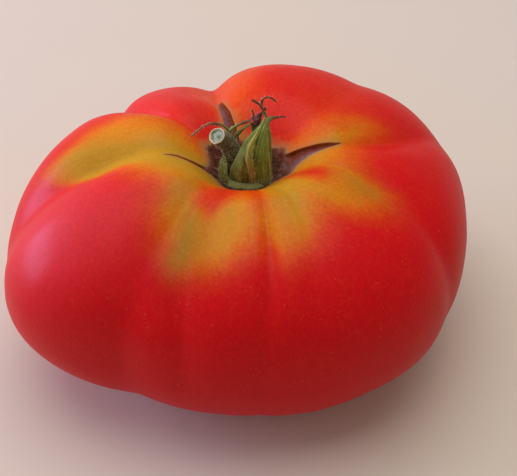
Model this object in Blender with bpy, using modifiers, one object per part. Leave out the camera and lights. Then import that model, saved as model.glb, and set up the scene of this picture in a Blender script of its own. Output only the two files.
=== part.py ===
"""Beefsteak tomato at rest on its blossom end: one lobed fruit, the calyx in its hollow and the cut stem.

The frame is +Z up along the fruit's core, with the fruit's widest side along X and the resting spot at Z = 0.
"""

import math

import bmesh
import bpy
import numpy as np
from mathutils import Vector

MM = 0.001
COLLECTION = "tomato"

# The core stands this far from the middle of the object's footprint.
CORE_X = 1.88 * MM
CORE_Y = -3.16 * MM

# Lobes of the fruit: azimuth of the crest in degrees from +X towards +Y, then how far the side
# bulges from the core, how high the shoulder stands and how wide the stem hollow is, in millimetres.
LOBES = (
    (2, 60.0, 67.0, 16.5),
    (33, 64.4, 67.0, 15.5),
    (76, 59.3, 69.4, 14.5),
    (115, 56.3, 65.9, 14.5),
    (151, 58.4, 70.9, 15.0),
    (203, 66.2, 70.4, 13.5),
    (240, 54.0, 67.0, 12.2),
    (264, 52.0, 66.5, 11.6),
    (297, 54.5, 67.5, 12.2),
    (328, 58.5, 67.0, 13.0),
)

# Furrows between the lobes: azimuth at the hollow and down the side in degrees, depth in
# millimetres, half width in degrees, and the share of the side that the furrow runs down.
FURROWS = (
    (10, 27, 4.5, 9.0, 0.25),
    (38, 58, 1.2, 8.0, 0.60),
    (108, 101, 5.2, 8.0, 0.70),
    (146, 138, 5.2, 6.0, 0.80),
    (180, 189, 6.0, 11.0, 0.45),
    (232, 235, 2.2, 10.0, 1.00),
    (237, 253, 1.8, 7.0, 0.60),
    (285, 274.5, 1.8, 3.6, 0.70),
    (305, 288, 0.8, 6.0, 0.70),
    (352, 338, 2.8, 9.0, 0.62),
)

# Healed growth cracks in the shoulders: azimuth in degrees, then inner and outer end from
# the core, greatest half width and depth, all in millimetres.
CRACKS = (
    (14, 9.5, 26.0, 2.0, 2.6),
    (106, 10.0, 26.0, 1.0, 1.8),
    (190, 10.0, 21.5, 0.9, 1.4),
)

# Section of the fruit
WIDEST_HEIGHT = 33.0 * MM
MEAN_SHOULDER = 67.4 * MM
SHOULDER_POWER = 2.35
UNDERSIDE_POWER = 2.15
UNDERSIDE_SINK = 1.2 * MM
HOLLOW_DEPTH = 12.3 * MM
HOLLOW_POWER = 2.6
SHOULDER_SHARE = 0.18

# Section of a furrow, and the shares of the side where it opens, where it has reached its azimuth down the
# side, and where it fades away: for a furrow of no run, and how much later for a full run.
FURROW_POINT = 0.25
FULL_FURROW_REACH = 20.0 * MM
FURROW_OPENS = (0.03, 0.20)
FURROW_SETTLES = 0.45
FURROW_FADES = (0.20, 0.35)
FURROW_FADES_LATER = (0.25, 0.60)

# Cracks open at once at their inner end and close slowly outwards.
CRACK_OPENING_POWER = 0.6

# Facets of the fruit
FRUIT_SIDES = 100
FRUIT_RINGS = 30
STEM_CROWDING = 1.3
END_CROWDING = 0.4

# Calyx: the green cup under the sepals, with the socket that the stem stands in
CALYX_X = 0.2 * MM
CALYX_Y = -0.4 * MM
SEAT_GAP = 0.6 * MM
CUP_RADIUS = 6.9 * MM
CUP_RIM_HEIGHT = 1.5 * MM
CUP_TOP_RADIUS = 4.3 * MM
CUP_TOP_HEIGHT = 3.4 * MM
CUP_SLOPE_RADIUS = 0.82 * CUP_RADIUS
CUP_SLOPE_HEIGHT = 0.75 * CUP_TOP_HEIGHT
UNDERSIDE_OUTER_RING = 0.7 * CUP_RADIUS
UNDERSIDE_INNER_RING = 0.4 * CUP_RADIUS
SOCKET_RADIUS = 3.05 * MM
SOCKET_FLOOR = 1.5 * MM
CUP_SIDES = 32
CUP_SEAM_MERGE = 0.01 * MM

# Sepals: the run of the rib in millimetres from the middle of the cup's underside, half
# width in millimetres, fold about the rib, and azimuth that the outer face looks to.
SEPALS = (
    (
        "front_left",
        ((-0.2, -4.6, 2.6), (-0.6, -4.8, 5.5), (0.4, -3.4, 11.5), (4.6, 1.2, 17.2), (3.2, 4.0, 20.8)),
        3.3, 0.45, 248,
    ),
    (
        "front_right",
        ((4.4, -3.2, 2.6), (5.0, -4.0, 5.5), (4.8, -2.4, 12.0), (5.8, 0.8, 17.0), (9.8, 2.4, 19.0)),
        2.6, 0.60, 302,
    ),
    (
        "right",
        ((5.0, 1.4, 2.2), (6.8, 1.8, 6.0), (6.5, 2.8, 12.5), (5.2, 4.2, 18.4), (7.9, 5.2, 21.3)),
        2.5, 0.60, 10,
    ),
    (
        "back",
        ((2.2, 4.6, 2.2), (3.0, 6.2, 6.0), (3.4, 6.0, 12.0), (4.0, 5.4, 17.2), (1.9, 5.6, 21.1)),
        1.7, 0.70, 75,
    ),
    (
        "back_left",
        ((-1.9, 4.7, 2.2), (-3.0, 6.4, 7.0), (-1.6, 7.0, 11.8), (2.0, 6.7, 14.0), (1.2, 6.9, 17.3)),
        1.4, 0.75, 118,
    ),
    (
        "left",
        ((-4.7, 2.0, 2.2), (-5.4, 5.4, 6.0), (-4.8, 6.6, 11.2), (-9.1, 3.8, 15.3), (-13.7, 1.4, 13.7)),
        1.7, 0.70, 150,
    ),
)
SEPAL_THICKNESS = 0.8 * MM
SEPAL_TIP_WIDTH = 0.45 * MM
SEPAL_ROOT_SHARE = 0.8
SEPAL_SWELL = 0.6
SEPAL_TAPER_POWER = 1.4
SEPAL_FOLD_POWER = 1.5
SEPAL_STEPS = 13
SEPAL_STRIPS = 4

# Stem: the middle line in millimetres from the middle of the cup's underside, and radii
STEM_LINE = ((0.0, 0.0, 2.6), (-0.5, 0.3, 5.5), (-2.0, 1.4, 9.6), (-4.4, 1.2, 13.1), (-7.0, -1.8, 16.4))
STEM_ROOT_RADIUS = 2.65 * MM
STEM_NECK_RADIUS = 2.15 * MM
STEM_CUT_RADIUS = 2.45 * MM
STEM_NECK_SHARE = 0.35
STEM_SWELL_SHARE = 0.45
STEM_STEPS = 16
STEM_BEVEL_STEPS = 3

# Colours in linear light, and roughness
SKIN_RED = (0.62, 0.03, 0.02)
SKIN_ROUGHNESS = 0.32
SEPAL_GREEN = (0.12, 0.17, 0.03)
SEPAL_ROUGHNESS = 0.7
STEM_GREEN = (0.16, 0.20, 0.07)
STEM_ROUGHNESS = 0.65


def clear_scene():
    for item in list(bpy.data.objects):
        bpy.data.objects.remove(item)


def new_collection(name):
    found = bpy.data.collections.new(name)
    bpy.context.scene.collection.children.link(found)
    return found


def new_object(name, data, collection):
    item = bpy.data.objects.new(name, data)
    collection.objects.link(item)
    return item


def finish(name, colour, roughness):
    """A plain material in the piece's own colour."""
    material = bpy.data.materials.new(name)
    material.use_nodes = True
    shader = material.node_tree.nodes["Principled BSDF"]
    shader.inputs["Base Color"].default_value = (*colour, 1.0)
    shader.inputs["Roughness"].default_value = roughness
    shader.inputs["Metallic"].default_value = 0.0
    material.diffuse_color = (*colour, 1.0)
    return material


def eased(value, start, end):
    """0 before start, 1 after end, and a smooth step between them."""
    share = np.clip((value - start) / (end - start), 0.0, 1.0)
    return share * share * (3.0 - 2.0 * share)


def turn_between(angle):
    """An angle in degrees brought to between -180 and 180."""
    return (angle + 180.0) % 360.0 - 180.0


def round_the_core(azimuth, column):
    """One column of LOBES as a smooth closed curve round the core, in metres."""
    around = np.array([lobe[0] for lobe in LOBES], float)
    values = np.array([lobe[column] for lobe in LOBES], float) * MM
    around = np.concatenate([around - 360.0, around, around + 360.0])
    values = np.tile(values, 3)
    slopes = np.gradient(values, around)
    angle = np.mod(azimuth, 360.0)
    i = np.searchsorted(around, angle, side="right") - 1
    span = around[i + 1] - around[i]
    t = (angle - around[i]) / span
    start = (2 * t**3 - 3 * t**2 + 1) * values[i] + (t**3 - 2 * t**2 + t) * span * slopes[i]
    end = (3 * t**2 - 2 * t**3) * values[i + 1] + (t**3 - t**2) * span * slopes[i + 1]
    return start + end


def furrow_depth(azimuth, share):
    """How deep the furrows lie there. The share runs from 0 at the stem to 1 at the blossom end."""
    depth = np.zeros_like(azimuth)
    for at_hollow, at_side, deepest, half_width, run in FURROWS:
        middle = at_hollow + (at_side - at_hollow) * eased(share, 0.0, FURROW_SETTLES)
        across = turn_between(azimuth - middle) / half_width
        section = np.exp(FURROW_POINT - np.sqrt(across**2 + FURROW_POINT**2))
        fading, gone = (first + later * run for first, later in zip(FURROW_FADES, FURROW_FADES_LATER))
        along = eased(share, *FURROW_OPENS) * (1.0 - eased(share, fading, gone))
        depth += deepest * MM * along * section
    return depth


def crack_depth(azimuth, radius):
    """Depth of the healed cracks there: each is a narrow V that opens and closes along its length."""
    depth = np.zeros_like(azimuth)
    for middle, inner, outer, half_width, deepest in CRACKS:
        run = np.clip((radius / MM - inner) / (outer - inner), 0.0, 1.0)
        opening = np.sin(math.pi * run**CRACK_OPENING_POWER)
        aside = np.abs(np.radians(turn_between(azimuth - middle))) * radius / MM
        width = np.maximum(half_width * opening, 1e-3)
        depth += deepest * MM * opening * np.clip(1.0 - aside / width, 0.0, 1.0)
    return depth


def hollow(azimuth, radius):
    """How far the stem hollow dips at that azimuth and radius from the core."""
    return HOLLOW_DEPTH * np.exp(-((radius / round_the_core(azimuth, 3)) ** HOLLOW_POWER))


def fruit_surface(azimuth, share):
    """Points of the fruit's skin at azimuths in degrees and shares of the way from stem to blossom end."""
    reach = round_the_core(azimuth, 1)
    shoulder = round_the_core(azimuth, 2)
    shoulder = MEAN_SHOULDER + (shoulder - MEAN_SHOULDER) * eased(share, 0.0, SHOULDER_SHARE)
    polar = math.pi * share
    upper = share <= 0.5
    power = np.where(upper, 2.0 / SHOULDER_POWER, 2.0 / UNDERSIDE_POWER)
    radius = reach * np.abs(np.sin(polar)) ** power
    rise = np.abs(np.cos(polar)) ** power
    above = WIDEST_HEIGHT + (shoulder - WIDEST_HEIGHT) * rise
    below = WIDEST_HEIGHT - (WIDEST_HEIGHT + UNDERSIDE_SINK) * rise
    height = np.where(upper, above, below)
    furrow = furrow_depth(azimuth, share)
    radius = radius - furrow * np.sin(polar) * np.minimum(1.0, radius / FULL_FURROW_REACH)
    height = height - furrow * np.cos(polar)
    height = np.where(upper, height - hollow(azimuth, radius) - crack_depth(azimuth, radius), height)
    height = np.maximum(height, 0.0)
    turn = np.radians(azimuth)
    return np.stack([CORE_X + radius * np.cos(turn), CORE_Y + radius * np.sin(turn), height], axis=-1)


def make_fruit(collection):
    """A globe whose points are carried to the lobed skin, with rings crowded towards both ends."""
    mesh = bpy.data.meshes.new("fruit")
    shape = bmesh.new()
    bmesh.ops.create_uvsphere(shape, u_segments=FRUIT_SIDES, v_segments=FRUIT_RINGS, radius=1.0)
    places = np.array([vertex.co for vertex in shape.verts])
    azimuth = np.degrees(np.arctan2(places[:, 1], places[:, 0]))
    ring = np.arccos(np.clip(places[:, 2], -1.0, 1.0)) / math.pi
    share = (1.0 - END_CROWDING) * ring**STEM_CROWDING + END_CROWDING * eased(ring, 0.0, 1.0)
    skin = fruit_surface(azimuth, share)
    for vertex, place in zip(shape.verts, skin):
        vertex.co = place
    bmesh.ops.triangulate(shape, faces=shape.faces)
    shape.to_mesh(mesh)
    shape.free()
    mesh.shade_smooth()
    mesh.materials.append(finish("skin", SKIN_RED, SKIN_ROUGHNESS))
    return new_object("fruit", mesh, collection)


def calyx_seat():
    """The middle of the cup's underside, just above the floor of the hollow."""
    return Vector((CORE_X + CALYX_X, CORE_Y + CALYX_Y, MEAN_SHOULDER - HOLLOW_DEPTH + SEAT_GAP))


def make_cup(collection):
    """The cup: a profile turned about the stem, with a socket above, laid along the hollow's floor."""
    profile = (
        (0.0, SOCKET_FLOOR),
        (SOCKET_RADIUS, SOCKET_FLOOR),
        (SOCKET_RADIUS, CUP_TOP_HEIGHT),
        (CUP_TOP_RADIUS, CUP_TOP_HEIGHT),
        (CUP_SLOPE_RADIUS, CUP_SLOPE_HEIGHT),
        (CUP_RADIUS, CUP_RIM_HEIGHT),
        (CUP_RADIUS, 0.0),
        (UNDERSIDE_OUTER_RING, 0.0),
        (UNDERSIDE_INNER_RING, 0.0),
        (0.0, 0.0),
    )
    mesh = bpy.data.meshes.new("calyx")
    shape = bmesh.new()
    corners = [shape.verts.new((radius, 0.0, height)) for radius, height in profile]
    for start, end in zip(corners, corners[1:]):
        shape.edges.new((start, end))
    shape.to_mesh(mesh)
    shape.free()
    cup = new_object("calyx", mesh, collection)
    cup.location = calyx_seat()
    turned = cup.modifiers.new("turn", "SCREW")
    turned.steps = CUP_SIDES
    turned.render_steps = CUP_SIDES
    turned.use_merge_vertices = True
    turned.merge_threshold = CUP_SEAM_MERGE
    apply_shape(cup)
    for vertex in cup.data.vertices:
        x = vertex.co.x + CALYX_X
        y = vertex.co.y + CALYX_Y
        azimuth = math.degrees(math.atan2(y, x))
        vertex.co.z += HOLLOW_DEPTH - float(hollow(azimuth, math.hypot(x, y)))
    return cup


def smooth_line(points, steps):
    """Even steps along a Catmull-Rom curve through points given in millimetres, as vectors in metres."""
    knots = [Vector(point) * MM for point in points]
    knots = [2 * knots[0] - knots[1], *knots, 2 * knots[-1] - knots[-2]]
    line = []
    for step in range(steps + 1):
        along = step / steps * (len(points) - 1)
        i = min(int(along), len(points) - 2)
        t = along - i
        a, b, c, d = knots[i : i + 4]
        line.append(
            0.5 * (2 * b + (c - a) * t + (2 * a - 5 * b + 4 * c - d) * t**2 + (3 * b - a - 3 * c + d) * t**3)
        )
    return line


def sepal_width(share, half_width):
    """Half width of a sepal: full above the root, then drawn out to the tip."""
    taper = (1.0 - share**SEPAL_TAPER_POWER) * (SEPAL_ROOT_SHARE + SEPAL_SWELL * share)
    return half_width * MM * taper + SEPAL_TIP_WIDTH


def make_sepal(name, points, half_width, fold, facing, collection):
    """A blade folded about its rib: a flat grid carried to the rib's line, then given its thickness."""
    line = smooth_line(points, SEPAL_STEPS)
    looks_to = math.radians(facing)
    mesh = bpy.data.meshes.new(name)
    shape = bmesh.new()
    bmesh.ops.create_grid(shape, x_segments=SEPAL_STEPS, y_segments=SEPAL_STRIPS, size=1.0)
    seat = calyx_seat()
    for vertex in shape.verts:
        share = (vertex.co.x + 1.0) / 2.0
        across = vertex.co.y
        step = round(share * SEPAL_STEPS)
        heading = (line[min(step + 1, SEPAL_STEPS)] - line[max(step - 1, 0)]).normalized()
        outward = Vector((math.cos(looks_to), math.sin(looks_to), 0.0))
        outward = (outward - heading * outward.dot(heading)).normalized()
        side = heading.cross(outward)
        half = sepal_width(share, half_width)
        folded = abs(across) ** SEPAL_FOLD_POWER * fold * half
        vertex.co = seat + line[step] + side * across * half - outward * folded
    shape.to_mesh(mesh)
    shape.free()
    sepal = new_object("sepal_" + name, mesh, collection)
    thick = sepal.modifiers.new("thickness", "SOLIDIFY")
    thick.thickness = SEPAL_THICKNESS
    thick.offset = 0.0
    thick.use_even_offset = False
    return sepal


def apply_shape(item):
    """Gives an object the mesh that its modifiers make."""
    bpy.context.view_layer.update()
    evaluated = item.evaluated_get(bpy.context.evaluated_depsgraph_get())
    made = bpy.data.meshes.new_from_object(evaluated)
    item.modifiers.clear()
    item.data = made


def make_calyx(collection):
    """The cup with all its sepals, grown together as one piece."""
    cup = make_cup(collection)
    blades = new_collection("sepals")
    for row in SEPALS:
        make_sepal(*row, blades)
    for blade in blades.objects:
        apply_shape(blade)
    union = cup.modifiers.new("sepals", "BOOLEAN")
    union.operation = "UNION"
    union.operand_type = "COLLECTION"
    union.collection = blades
    apply_shape(cup)
    for blade in list(blades.objects):
        bpy.data.objects.remove(blade)
    bpy.data.collections.remove(blades)
    cup.data.materials.clear()
    cup.data.materials.append(finish("sepal", SEPAL_GREEN, SEPAL_ROUGHNESS))
    return cup


def make_stem(collection):
    """The stem's stub, bent over and cut square across, as a bevelled line."""
    line = smooth_line(STEM_LINE, STEM_STEPS)
    curve = bpy.data.curves.new("stem", "CURVE")
    curve.dimensions = "3D"
    curve.bevel_depth = 1.0
    curve.bevel_resolution = STEM_BEVEL_STEPS
    curve.use_fill_caps = True
    spline = curve.splines.new("POLY")
    spline.points.add(len(line) - 1)
    for step, (knot, place) in enumerate(zip(spline.points, line)):
        share = step / STEM_STEPS
        narrowing = (STEM_NECK_RADIUS - STEM_ROOT_RADIUS) * float(eased(share, 0.0, STEM_NECK_SHARE))
        swelling = (STEM_CUT_RADIUS - STEM_NECK_RADIUS) * float(eased(share, STEM_SWELL_SHARE, 1.0))
        knot.co = (*place, 1.0)
        knot.radius = STEM_ROOT_RADIUS + narrowing + swelling
    curve.materials.append(finish("stem", STEM_GREEN, STEM_ROUGHNESS))
    stem = new_object("stem", curve, collection)
    stem.location = calyx_seat()
    return stem


def main():
    clear_scene()
    collection = new_collection(COLLECTION)
    make_fruit(collection)
    make_calyx(collection)
    make_stem(collection)


main()
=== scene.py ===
"""A ripe beefsteak tomato on a pale table: the lobed fruit, the calyx in its corky hollow and the cut stem.

The file is laid out as a Blender add-on and is run as a script. Every size is in metres unless a name or a
comment says millimetres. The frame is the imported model's: +Z up the fruit's core, and 0 in the middle of its
footprint.
"""

import math
from functools import partial
from itertools import product

import bpy
import numpy as np
from bpy.props import FloatProperty, FloatVectorProperty, IntProperty, PointerProperty
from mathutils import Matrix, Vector


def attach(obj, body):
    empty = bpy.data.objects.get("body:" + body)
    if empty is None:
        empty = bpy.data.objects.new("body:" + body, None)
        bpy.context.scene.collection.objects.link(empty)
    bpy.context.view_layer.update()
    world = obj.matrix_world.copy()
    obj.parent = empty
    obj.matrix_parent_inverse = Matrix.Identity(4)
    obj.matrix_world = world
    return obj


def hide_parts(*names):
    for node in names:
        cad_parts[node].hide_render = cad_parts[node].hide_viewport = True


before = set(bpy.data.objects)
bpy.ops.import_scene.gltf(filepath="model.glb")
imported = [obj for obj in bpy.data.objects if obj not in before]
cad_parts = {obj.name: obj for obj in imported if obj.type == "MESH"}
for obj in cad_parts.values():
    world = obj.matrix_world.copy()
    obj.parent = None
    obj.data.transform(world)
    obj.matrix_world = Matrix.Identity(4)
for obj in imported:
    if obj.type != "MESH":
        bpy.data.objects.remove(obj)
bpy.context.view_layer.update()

bl_info = {
    "name": "Beefsteak Tomato",
    "version": (1, 0, 0),
    "blender": (4, 5, 0),
    "location": "3D View > Sidebar > Tomato",
    "description": "Makes a lobed beefsteak tomato with its calyx and cut stem",
    "category": "Object",
}

MM = 0.001
BODY = "root"

# The core stands this far from the middle of the object's footprint.
CORE = np.array((1.88, -3.16)) * MM

# Lobes of the fruit: azimuth of the crest in degrees from +X towards +Y, then how far the side
# bulges from the core, how high the shoulder stands and how wide the stem hollow is, in millimetres.
LOBES = (
    (2, 60.0, 67.0, 16.5),
    (33, 64.4, 67.0, 15.5),
    (76, 59.3, 69.4, 14.5),
    (115, 56.3, 65.9, 14.5),
    (151, 58.4, 70.9, 15.0),
    (203, 66.2, 70.4, 13.5),
    (240, 54.0, 67.0, 12.2),
    (264, 52.0, 66.5, 11.6),
    (297, 54.5, 67.5, 12.2),
    (328, 58.5, 67.0, 13.0),
)

# Furrows between the lobes: azimuth at the hollow and down the side in degrees, depth in
# millimetres, half width in degrees, and the share of the side that the furrow runs down.
FURROWS = (
    (10, 27, 4.5, 9.0, 0.25),
    (38, 58, 1.2, 8.0, 0.60),
    (108, 101, 5.2, 8.0, 0.70),
    (146, 138, 5.2, 6.0, 0.80),
    (180, 189, 6.0, 11.0, 0.45),
    (232, 235, 2.2, 10.0, 1.00),
    (237, 253, 1.8, 7.0, 0.60),
    (285, 274.5, 1.8, 3.6, 0.70),
    (305, 288, 0.8, 6.0, 0.70),
    (352, 338, 2.8, 9.0, 0.62),
)

# Healed growth cracks in the shoulders: azimuth of the deep line at its inner and outer end and how far it
# sags between them in degrees, inner and outer end from the core in millimetres, width of the gentle wall
# there, positive towards higher azimuths, how fast that wall narrows outwards, depth in millimetres, and how
# much wider the mouth into the hollow is.
CRACKS = (
    (25.0, 15.0, 2.2, 11.3, 26.2, -4.4, 1.25, 1.0, 5.0),
    (99.5, 105.5, 0.0, 9.5, 26.5, 3.0, 0.6, 1.0, 0.0),
    (183.0, 188.0, 0.0, 10.2, 21.0, 0.9, 0.5, 0.8, 0.5),
)

# A crack turns to its outer azimuth by this power of what is left of its run. Its steep wall is this wide in
# millimetres, and its mouth closes over this share of the run.
CRACK_BEND = 2.4
STEEP_WALL = 0.50
MOUTH_SHARE = 0.10

# Edge of the dry cork in the stem hollow: azimuth in degrees and distance from the core in millimetres.
CORK = (
    (2, 12.9), (22, 13.0), (37, 12.6), (53, 11.4), (80, 10.6), (106, 11.6), (130, 12.2), (147, 12.8),
    (155, 11.6), (166, 10.6), (177, 10.8), (184, 11.6), (188, 10.8), (192, 9.6), (200, 8.8), (212, 8.4),
    (235, 9.2), (250, 9.0), (290, 8.8), (312, 8.6), (336, 9.3), (347, 11.4),
)

# Section of the fruit
WIDEST_HEIGHT = 33.0 * MM
MEAN_SHOULDER = 67.4 * MM
SHOULDER_POWER = 2.35
UNDERSIDE_POWER = 2.15
UNDERSIDE_SINK = 1.2 * MM
HOLLOW_DEPTH = 12.3 * MM
HOLLOW_POWER = 2.6
SHOULDER_SHARE = 0.18

# Section of a furrow, and the shares of the side where it opens, where it has reached its azimuth down the
# side, and where it fades away: for a furrow of no run, and how much later for a full run.
FURROW_POINT = 0.25
FULL_FURROW_REACH = 20.0 * MM
FURROW_OPENS = (0.03, 0.20)
FURROW_SETTLES = 0.45
FURROW_FADES = (0.20, 0.35)
FURROW_FADES_LATER = (0.25, 0.60)

# The fruit's mesh. Its rows crowd by this much at the stem and at the blossom end, over this share of the
# side, and its columns by this much round the cracks, within this many degrees of each.
FRUIT_COLUMNS = 480
FRUIT_ROWS = 204
STEM_CROWDING = 6.0
STEM_CROWDING_SHARE = 0.14
END_CROWDING = 3.0
END_CROWDING_SHARE = 0.05
CRACK_CROWDING = 4.0
CRACK_CROWDING_WIDTH = 6.0

# Yellow shoulders, the last skin to ripen: azimuth in degrees, how unripe the lip of the hollow is, from 0
# for red to 1 for yellow-green, the shares of the side where the shoulder's own colour starts and ends, and
# how unripe it is between them.
SHOULDERS = (
    (3, 0.85, 0.080, 0.135, 0.85), (9, 0.75, 0.075, 0.137, 0.88), (15, 0.50, 0.090, 0.155, 0.88),
    (21, 0.55, 0.080, 0.200, 0.66), (27, 0.50, 0.080, 0.210, 0.48), (33, 0.32, 0.080, 0.160, 0.36),
    (39, 0.14, 0.080, 0.170, 0.20), (47, 0.08, 0.080, 0.220, 0.12), (57, 0.03, 0.080, 0.220, 0.04),
    (78, 0.10, 0.080, 0.140, 0.12), (87, 0.25, 0.080, 0.230, 0.22), (99, 0.45, 0.080, 0.270, 0.28),
    (106, 0.45, 0.080, 0.250, 0.25), (113, 0.20, 0.080, 0.240, 0.18), (123, 0.05, 0.080, 0.160, 0.06),
    (135, 0.04, 0.100, 0.160, 0.05), (141, 0.06, 0.130, 0.220, 0.08), (147, 0.26, 0.090, 0.230, 0.36),
    (153, 0.42, 0.080, 0.190, 0.48), (159, 0.60, 0.080, 0.205, 0.62), (165, 0.72, 0.080, 0.238, 0.74),
    (171, 0.85, 0.080, 0.265, 0.84), (177, 0.95, 0.080, 0.302, 1.02), (183, 1.02, 0.080, 0.286, 1.00),
    (189, 1.00, 0.080, 0.196, 1.06), (195, 1.05, 0.080, 0.136, 1.08), (201, 1.08, 0.080, 0.110, 1.10),
    (207, 1.08, 0.080, 0.100, 1.10), (213, 1.00, 0.080, 0.101, 1.00), (219, 0.86, 0.080, 0.128, 0.86),
    (225, 0.58, 0.075, 0.168, 0.80), (231, 0.44, 0.100, 0.192, 0.80), (237, 0.30, 0.112, 0.218, 0.82),
    (243, 0.22, 0.120, 0.254, 0.92), (249, 0.22, 0.124, 0.258, 0.80), (255, 0.28, 0.110, 0.245, 0.82),
    (261, 0.34, 0.100, 0.232, 0.86), (267, 0.46, 0.098, 0.210, 0.82), (273, 0.42, 0.098, 0.192, 0.76),
    (279, 0.38, 0.100, 0.185, 0.60), (285, 0.48, 0.105, 0.214, 0.72), (291, 0.76, 0.090, 0.200, 0.80),
    (297, 0.90, 0.080, 0.186, 0.90), (303, 0.98, 0.080, 0.167, 0.96), (309, 0.98, 0.080, 0.151, 0.98),
    (315, 0.93, 0.080, 0.143, 0.94), (321, 0.90, 0.080, 0.160, 0.90), (327, 0.68, 0.095, 0.190, 0.77),
    (333, 0.60, 0.100, 0.210, 0.74), (339, 0.58, 0.105, 0.222, 0.78), (345, 0.62, 0.110, 0.217, 0.72),
    (351, 0.70, 0.090, 0.157, 0.70), (357, 0.80, 0.080, 0.137, 0.80),
)

# The shoulder's own colour starts and ends over this much of the side, to each side of those shares.
SHOULDER_STARTS = 0.025
SHOULDER_ENDS = 0.065

# Green left in the yellow: azimuth, share, half width in degrees, half height as a share, and strength
GREENS = (
    (180, 0.18, 9, 0.12, 0.50),
    (222, 0.09, 9, 0.05, 0.60),
    (245, 0.20, 11, 0.10, 1.00),
    (258, 0.12, 6, 0.04, 0.20),
    (295, 0.08, 16, 0.05, 0.40),
    (340, 0.17, 8, 0.05, 0.60),
)

# Patches that ripened sooner or later than the skin round them: azimuth, share, half width in degrees, half
# height as a share, and change in unripeness
PATCHES = (
    (339, 0.085, 9, 0.024, -0.40),
    (236, 0.045, 14, 0.022, 0.40),
    (106, 0.060, 9, 0.020, 0.25),
    (218, 0.160, 5, 0.020, 0.10),
)

# Painted sheen: pink patches painted into the skin where the window light's soft reflection lies on the left
# and back-left of the fruit: azimuth, share, half width in degrees, half height as a share, and strength
PAINTED_SHEENS = (
    (203, 0.255, 20, 0.110, 0.90),
    (130, 0.240, 14, 0.140, 0.60),
)

# Calyx, in millimetres from its seat, the middle of the cup's underside
CALYX_SEAT = np.array((CORE[0] + 0.2 * MM, CORE[1] - 0.4 * MM, MEAN_SHOULDER - HOLLOW_DEPTH + 0.6 * MM))
CUP_RADIUS = 6.9 * MM
CUP_TOP_HEIGHT = 3.4 * MM
CUP_COLUMNS = 96

# Section of the cup from its middle to the rim and back underneath: shares of its radius, and of its height
# over the floor of the hollow. The first rows are its inside.
CUP_SECTION = (
    (0.05, 0.30), (0.40, 0.34), (0.58, 0.42), (0.66, 0.60), (0.70, 0.74), (0.75, 0.79), (0.82, 0.70),
    (0.89, 0.52), (0.95, 0.32), (1.0, 0.12), (0.98, -0.04), (0.6, -0.10), (0.05, -0.10),
)
CUP_INSIDE_ROWS = 5
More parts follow.
